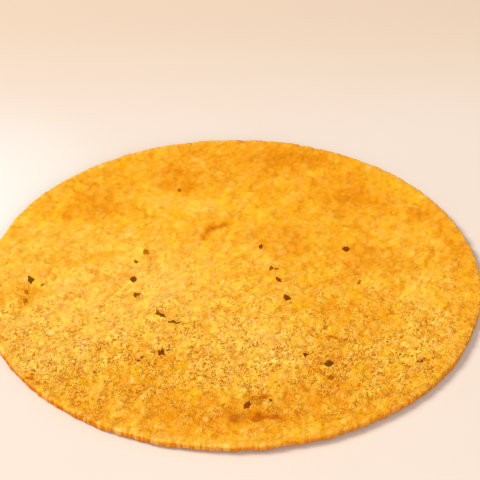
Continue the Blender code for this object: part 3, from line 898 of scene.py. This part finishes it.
class KHAKHRA_OT_make_bread(bpy.types.Operator):
    """Models the bread: a disc with a rounded rim, drawn onto the solid and given its relief"""

    bl_idname = "khakhra.make_bread"
    bl_label = "Make bread"

    def execute(self, context):
        bread = context.scene.khakhra_bread
        low, high = BREAD_BOX
        deselect_all()
        bpy.ops.mesh.primitive_cylinder_add(
            vertices=240,
            radius=BREAD_RADIUS,
            depth=high.z - low.z,
            location=(0.0, 0.0, (low.z + high.z) / 2),
        )
        piece = new_piece("bread")
        place_in_mesh(piece)
        for face in piece.data.polygons:
            face.select = abs(face.normal.z) > 0.9
        bpy.ops.object.mode_set(mode="EDIT")
        bpy.ops.mesh.select_mode(type="FACE")
        bpy.ops.mesh.bevel(offset=bread.edge_round, segments=4, affect="EDGES")
        bpy.ops.object.mode_set(mode="OBJECT")
        apply_modifier(piece, "REMESH", mode="VOXEL", voxel_size=bread.mesh_size)
        apply_modifier(
            piece,
            "SHRINKWRAP",
            target=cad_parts["khakhra"],
            wrap_method="NEAREST_SURFACEPOINT",
        )
        apply_modifier(piece, "SMOOTH", factor=0.5, iterations=2)
        apply_modifier(piece, "NODES", node_group=relief_group(bread))
        # The underside, which lies on something, keeps fewer faces than the top
        under = piece.vertex_groups.new(name="under")
        under.add([v.index for v in piece.data.vertices if v.normal.z < -0.5], 1.0, "REPLACE")
        apply_modifier(
            piece,
            "DECIMATE",
            ratio=bread.kept_faces,
            vertex_group="under",
            vertex_group_factor=1000.0,
        )
        apply_modifier(piece, "NODES", node_group=box_group())
        pick(piece)
        bpy.ops.object.shade_smooth()
        store_toast_and_shade(piece)
        dress(piece, roasted_dough(bread))
        return {"FINISHED"}


def dress(piece, material):
    """Gives a piece its material and its place in the frame."""
    piece.data.materials.clear()
    piece.data.materials.append(material)
    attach(piece, "root")
    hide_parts("khakhra")


def make_leaf_bit(leaf, seed, place, outline):
    """One leaf bit: a torn flake laid over the crust, with the thickness of a dry leaf."""
    deselect_all()
    bpy.ops.mesh.primitive_circle_add(vertices=len(outline), radius=1.0, fill_type="TRIFAN")
    piece = new_piece("leaf_bit")
    # The circle's points become the corners, anticlockwise, and its middle stays where it is
    rim = [vertex for vertex in piece.data.vertices if vertex.co.length > 0.5]
    rim.sort(key=lambda vertex: math.atan2(vertex.co.y, vertex.co.x))
    for vertex, corner in zip(rim, outline):
        vertex.co = (*corner, 0.0)
    bpy.ops.object.mode_set(mode="EDIT")
    bpy.ops.mesh.select_all(action="SELECT")
    bpy.ops.mesh.subdivide(number_cuts=5)
    bpy.ops.object.mode_set(mode="OBJECT")
    for vertex in piece.data.vertices:
        place_in_noise = Vector((vertex.co.x, vertex.co.y, seed)) / TEAR_SPACING
        tear = noise_vector(place_in_noise) * TEAR_DEPTH
        vertex.co = ((vertex.co.x + tear.x) * MM, (vertex.co.y + tear.y) * MM, 0.0)
    piece.location = (*place, BREAD_BOX[1].z + MM)
    place_in_mesh(piece)
    apply_modifier(
        piece,
        "SHRINKWRAP",
        target=bpy.data.objects["bread"],
        wrap_method="PROJECT",
        use_project_z=True,
        use_negative_direction=True,
        use_positive_direction=False,
    )
    # Crinkled by as much as it stands out, and pressed in at its corners
    reach = max(math.hypot(*corner) for corner in outline) * MM
    for vertex in piece.data.vertices:
        away = math.hypot(vertex.co.x - place[0], vertex.co.y - place[1]) / reach
        crinkle = noise_vector(vertex.co / (TEAR_SPACING * MM)).z
        vertex.co.z += leaf.proud * (1.2 - min(away, 1.0) + crinkle)
    apply_modifier(piece, "SOLIDIFY", thickness=leaf.thickness, offset=-1.0)
    return piece


class KHAKHRA_OT_make_leaf_bits(bpy.types.Operator):
    """Models the dry leaf bits that are pressed into the top"""

    bl_idname = "khakhra.make_leaf_bits"
    bl_label = "Make leaf bits"

    def execute(self, context):
        leaf = context.scene.khakhra_leaf
        # Unseeded, the noise that tears and crinkles the bits is another one in each run
        seed_set(SEED)
        bits = []
        for x, y, outline, brown, fade in LEAF_BITS:
            middle = Vector((x * MM, y * MM))
            bit = make_leaf_bit(leaf, SEED + len(bits), middle, outline)
            # Flour and crust close over a faded bit from its edges in
            reach = max(math.hypot(*corner) for corner in outline) * MM
            away = [(vertex.co.xy - middle).length / reach for vertex in bit.data.vertices]
            fades = [fade * (0.6 + 0.7 * share) for share in away]
            for name, values in (("brown", [brown] * len(away)), ("fade", fades)):
                attribute = bit.data.attributes.new(name, "FLOAT", "POINT")
                attribute.data.foreach_set("value", values)
            bits.append(bit)
        deselect_all()
        for bit in bits:
            bit.select_set(True)
        context.view_layer.objects.active = bits[0]
        bpy.ops.object.join()
        piece = new_piece("leaf_bits")
        dress(piece, dry_leaf(leaf, context.scene.khakhra_bread))
        return {"FINISHED"}


def scatter_group(name, shape, spread):
    """Geometry nodes that spread copies of a shape over the bread as real mesh."""
    tree, _, way_out = geometry_group(name)
    low, high = BREAD_BOX
    seed = spread["seed"]
    bread_mesh = node(
        tree, "GeometryNodeObjectInfo", {"Object": bpy.data.objects["bread"]}
    ).outputs["Geometry"]
    density = spread["count"] / (2 * math.pi * BREAD_RADIUS ** 2)
    if spread["layer"]:
        # Thickest where the crust is coarse, or where its skin is rubbed
        position = node(tree, "GeometryNodeInputPosition")
        layers = crust_layers(tree, position, bpy.context.scene.khakhra_bread)
        share = layers[spread["layer"]]
        density = node(tree, "ShaderNodeMath", {0: share, 1: density}, operation="MULTIPLY")
    points = node(
        tree,
        "GeometryNodeDistributePointsOnFaces",
        {"Mesh": bread_mesh, "Density": density, "Seed": seed},
    ).outputs
    tilt = spread["tilt"]
    any_turn = node(
        tree,
        "FunctionNodeRandomValue",
        {0: (-tilt, -tilt, -math.pi), 1: (tilt, tilt, math.pi), "Seed": seed + 1},
        data_type="FLOAT_VECTOR",
    )
    turned = node(
        tree,
        "FunctionNodeRotateRotation",
        {"Rotation": points["Rotation"], "Rotate By": any_turn},
        rotation_space="LOCAL",
    )
    size = spread["size"]
    any_size = node(
        tree,
        "FunctionNodeRandomValue",
        {2: size * 0.6, 3: size * 1.4, "Seed": seed + 2},
        data_type="FLOAT",
    )
    sunk = node(
        tree,
        "ShaderNodeVectorMath",
        {0: points["Normal"], "Scale": -spread["sink"]},
        operation="SCALE",
    )
    lowered = node(tree, "GeometryNodeSetPosition", {"Geometry": points["Points"], "Offset": sunk})
    inside = keep_between(tree, lowered, low.z + spread["half"], high.z - spread["half"])
    shape_mesh = node(tree, "GeometryNodeObjectInfo", {"Object": shape}).outputs["Geometry"]
    copies = node(
        tree,
        "GeometryNodeInstanceOnPoints",
        {"Points": inside, "Instance": shape_mesh, "Rotation": turned, "Scale": any_size},
    )
    any_shade = node(tree, "FunctionNodeRandomValue", {"Seed": seed + 3}, data_type="FLOAT")
    shaded = node(
        tree,
        "GeometryNodeStoreNamedAttribute",
        {"Geometry": copies, "Name": "shade", "Value": any_shade},
        data_type="FLOAT",
        domain="INSTANCE",
    )
    real = node(tree, "GeometryNodeRealizeInstances", {"Geometry": shaded})
    tree.links.new(real.outputs[0], way_out.inputs[0])
    return tree


def scatter_piece(
    name, shape, material, count, size, thin, seed, tilt=FLECK_TILT, layer=""
):
    """Spreads a shape over the bread as one piece, and removes the shape that was copied.

    A copy's middle lies just under the crust, and thin is its thickness as a share of its length.
    """
    spread = {
        "count": count,
        "size": size,
        "sink": 0.05 * size * thin,
        "half": 0.5 * size * thin,
        "tilt": tilt,
        "layer": layer,
        "seed": seed,
    }
    deselect_all()
    bpy.ops.mesh.primitive_plane_add(size=MM)
    piece = new_piece(name)
    apply_modifier(piece, "NODES", node_group=scatter_group(name, shape, spread))
    bpy.data.objects.remove(shape)
    dress(piece, material)


def broken_grain(name, thin, seed):
    """A broken grain of 8 faces, one unit long: a blunt cone above and below a ring of four."""
    deselect_all()
    bpy.ops.mesh.primitive_cone_add(
        vertices=4, radius1=0.5, radius2=0.0, depth=0.5, end_fill_type="NOTHING"
    )
    shape = new_piece(name)
    for vertex in shape.data.vertices:
        vertex.select = vertex.co.z < 0.0
    for edge in shape.data.edges:
        edge.select = all(shape.data.vertices[index].select for index in edge.vertices)
    bpy.ops.object.mode_set(mode="EDIT")
    bpy.ops.mesh.select_mode(type="EDGE")
    bpy.ops.mesh.extrude_region_move(TRANSFORM_OT_translate={"value": (0.0, 0.0, -0.5)})
    bpy.ops.mesh.merge(type="CENTER")
    bpy.ops.mesh.select_all(action="SELECT")
    bpy.ops.mesh.normals_make_consistent(inside=False)
    bpy.ops.transform.resize(value=(1.0, 0.8, thin))
    bpy.ops.transform.vertex_random(offset=0.08, uniform=1.0, normal=0.0, seed=seed)
    bpy.ops.object.mode_set(mode="OBJECT")
    return shape


class KHAKHRA_OT_make_grains(bpy.types.Operator):
    """Spreads pale flour grains and roasted meal grains over the crust"""

    bl_idname = "khakhra.make_grains"
    bl_label = "Make grains"

    def execute(self, context):
        bread = context.scene.khakhra_bread
        scatter = context.scene.khakhra_scatter
        scatter_piece(
            "flour_grains",
            broken_grain("grain_shape", 1.0, 1),
            dry_bits("coarse_flour", scatter.grain, bread.pale, bread),
            count=scatter.grain_count,
            size=scatter.grain_size,
            thin=1.0,
            seed=21,
            tilt=GRAIN_TILT,
            layer="rubbed",
        )
        scatter_piece(
            "meal_grains",
            broken_grain("meal_shape", 1.0, 4),
            dry_bits("roasted_meal", bread.golden, bread.orange, bread),
            count=scatter.meal_count,
            size=scatter.meal_size,
            thin=1.0,
            seed=61,
            tilt=GRAIN_TILT,
            layer="coarse",
        )
        scatter_piece(
            "browned_grains",
            broken_grain("browned_shape", 1.0, 6),
            dry_bits("browned_meal", bread.toffee, bread.orange, bread),
            count=scatter.browned_count,
            size=scatter.browned_size,
            thin=1.0,
            seed=71,
            tilt=GRAIN_TILT,
            layer="rubbed",
        )
        return {"FINISHED"}


class KHAKHRA_OT_make_flecks(bpy.types.Operator):
    """Spreads thin flecks of bran, chilli and leaf over the crust"""

    bl_idname = "khakhra.make_flecks"
    bl_label = "Make flecks"

    def execute(self, context):
        bread = context.scene.khakhra_bread
        scatter = context.scene.khakhra_scatter
        leaf = context.scene.khakhra_leaf
        scatter_piece(
            "bran_flecks",
            broken_grain("bran_shape", 0.25, 2),
            dry_bits("wheat_bran", scatter.bran, bread.orange, bread),
            count=scatter.bran_count,
            size=scatter.bran_size,
            thin=0.25,
            seed=31,
        )
        scatter_piece(
            "chilli_flecks",
            broken_grain("chilli_shape", 0.3, 3),
            dry_bits("chilli_flake", scatter.chilli, bread.orange, bread),
            count=scatter.chilli_count,
            size=scatter.chilli_size,
            thin=0.3,
            seed=41,
        )
        scatter_piece(
            "leaf_specks",
            broken_grain("leaf_shape", 0.3, 5),
            dry_bits("leaf_crumb", leaf.olive, leaf.red_brown, bread),
            count=leaf.speck_count,
            size=leaf.speck_size,
            thin=0.3,
            seed=51,
        )
        return {"FINISHED"}


def floor_material(stage):
    """Pale warm stone: smooth, matt, with faint clouding, and a pool of painted light by the bread's left
    side.
    """
    material, tree, shader = new_material("pale_stone", 0.6, 0.3)
    position = node(tree, "ShaderNodeTexCoord").outputs["Object"]
    # Faint clouds 60 mm wide
    clouds = node(
        tree,
        "ShaderNodeTexNoise",
        {"Vector": position, "Scale": 1 / (60 * MM), "Detail": 4.0, "Roughness": 0.55},
    )
    clouds = node(tree, "ShaderNodeMapRange", {0: clouds, 1: 0.3, 2: 0.7, 4: 0.15})
    # The floor is darker and more tan from 70 to 175 mm back, and by the bread's left side it is painted
    # paler and whiter, as a pool of painted light
    back = node(tree, "ShaderNodeSeparateXYZ", {0: position}).outputs[1]
    back = node(
        tree,
        "ShaderNodeMapRange",
        {0: back, 1: 70 * MM, 2: 175 * MM},
        interpolation_type="SMOOTHSTEP",
    )
    away = node(
        tree,
        "ShaderNodeVectorMath",
        {0: position, 1: (-95 * MM, 40 * MM, 0.0)},
        operation="DISTANCE",
    )
    wear_and_light_pool = node(
        tree,
        "ShaderNodeMapRange",
        {0: away, 1: 75 * MM, 2: 10 * MM},
        interpolation_type="SMOOTHSTEP",
    )
    colour = stage.floor
    for share, coat in (
        (back, stage.far_floor),
        (wear_and_light_pool, stage.light_pool_floor),
        (clouds, stage.far_floor),
    ):
        colour = node(tree, "ShaderNodeMix", {0: share, 6: colour, 7: coat}, data_type="RGBA")
    tree.links.new(colour.outputs[2], shader.inputs["Base Color"])
    return material


def add_area_light(name, place, width, power, colour):
    """A square soft light that looks at the bread."""
    deselect_all()
    bpy.ops.object.light_add(type="AREA", location=place)
    light = bpy.context.object
    light.name = name
    light.data.shape = "SQUARE"
    light.data.size = width
    light.data.energy = power
    light.data.color = colour
    light.rotation_euler = (-Vector(place)).to_track_quat("-Z", "Y").to_euler()


class KHAKHRA_OT_set_stage(bpy.types.Operator):
    """Adds the pale floor, the soft lights and the camera"""

    bl_idname = "khakhra.set_stage"
    bl_label = "Set stage"

    def execute(self, context):
        stage = context.scene.khakhra_stage
        deselect_all()
        bpy.ops.mesh.primitive_plane_add(size=FLOOR_WIDTH)
        floor = new_piece("floor")
        floor.data.materials.append(floor_material(stage))
        add_area_light(
            "key_light", KEY_LIGHT_PLACE, KEY_LIGHT_WIDTH, stage.key_power, KEY_LIGHT_COLOUR
        )
        add_area_light(
            "fill_light", FILL_LIGHT_PLACE, FILL_LIGHT_WIDTH, stage.fill_power, FILL_LIGHT_COLOUR
        )
        world = bpy.data.worlds.new("room")
        context.scene.world = world
        world.use_nodes = True
        background = world.node_tree.nodes["Background"]
        background.inputs["Color"].default_value = ROOM_COLOUR
        background.inputs["Strength"].default_value = stage.sky
        context.scene.view_settings.view_transform = "Standard"
        back = Vector((0.0, -math.cos(stage.elevation), math.sin(stage.elevation)))
        up = back.cross(Vector((1.0, 0.0, 0.0)))
        turn = Matrix((Vector((1.0, 0.0, 0.0)), up, back)).transposed()
        turn = turn @ Matrix.Rotation(stage.roll, 3, "Z")
        bpy.ops.object.camera_add(
            location=Vector(stage.aim) + back * stage.distance, rotation=turn.to_euler()
        )
        camera = context.object
        camera.data.lens = stage.lens
        camera.data.sensor_width = 36.0
        camera.data.clip_start = 0.01
        context.scene.camera = camera
        return {"FINISHED"}


class KHAKHRA_PT_panel(bpy.types.Panel):
    """Lists the steps and their settings."""

    bl_idname = "KHAKHRA_PT_panel"
    bl_label = "Khakhra"
    bl_space_type = "VIEW_3D"
    bl_region_type = "UI"
    bl_category = "Khakhra"

    def draw(self, context):
        layout = self.layout
        for step in STEPS:
            layout.operator(step.bl_idname)
        for holder in SETTINGS:
            settings = getattr(context.scene, holder)
            box = layout.box()
            for name in settings.__annotations__:
                box.prop(settings, name)


SETTINGS = {
    "khakhra_bread": KhakhraBreadSettings,
    "khakhra_scatter": KhakhraScatterSettings,
    "khakhra_leaf": KhakhraLeafSettings,
    "khakhra_stage": KhakhraStageSettings,
}
STEPS = (
    KHAKHRA_OT_make_bread,
    KHAKHRA_OT_make_leaf_bits,
    KHAKHRA_OT_make_grains,
    KHAKHRA_OT_make_flecks,
    KHAKHRA_OT_set_stage,
)


def register():
    """Registers the classes and hangs the settings on the scene."""
    for holder, group in SETTINGS.items():
        bpy.utils.register_class(group)
        setattr(bpy.types.Scene, holder, bpy.props.PointerProperty(type=group))
    for step in STEPS:
        bpy.utils.register_class(step)
    bpy.utils.register_class(KHAKHRA_PT_panel)


def unregister():
    """Takes away what register added."""
    bpy.utils.unregister_class(KHAKHRA_PT_panel)
    for step in reversed(STEPS):
        bpy.utils.unregister_class(step)
    for holder, group in reversed(SETTINGS.items()):
        delattr(bpy.types.Scene, holder)
        bpy.utils.unregister_class(group)


def main():
    """Makes every piece in order."""
    register()
    bpy.ops.khakhra.make_bread()
    bpy.ops.khakhra.make_leaf_bits()
    bpy.ops.khakhra.make_grains()
    bpy.ops.khakhra.make_flecks()
    bpy.ops.khakhra.set_stage()


if __name__ == "__main__":
    main()
